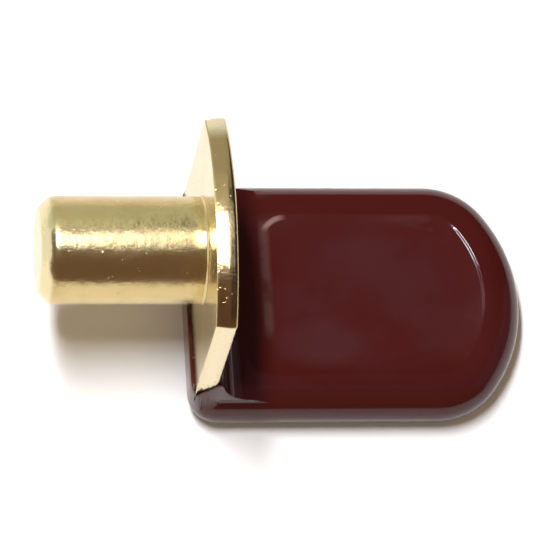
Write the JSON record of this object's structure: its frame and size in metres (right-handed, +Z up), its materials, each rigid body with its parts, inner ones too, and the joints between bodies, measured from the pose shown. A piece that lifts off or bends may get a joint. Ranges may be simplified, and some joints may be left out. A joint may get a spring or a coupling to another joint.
{
  "type": "shelf support pin",
  "caption": "Brass-plated shelf support: a round pin riveted to a bent strip bracket, with a dark red vinyl sleeve on the leg that carries the shelf.",
  "frame": {"origin": "centre of the pin where it meets the bracket's outer face", "axes": "+Z up, square to the shelf; the pin points along -X into the cabinet side and the sleeved leg along +X under the shelf; +Y across the strip"},
  "size_m": [0.0236, 0.012, 0.0127],
  "materials": {
    "plated_pin": "bright brass plating on a turned steel pin",
    "plated_strip": "bright brass plating on stamped steel strip",
    "vinyl": "glossy dark red-brown soft vinyl"
  },
  "bodies": {
    "root": {"pin": "plated_pin", "bracket": "plated_strip", "sleeve": "vinyl"}
  },
  "joints": []
}
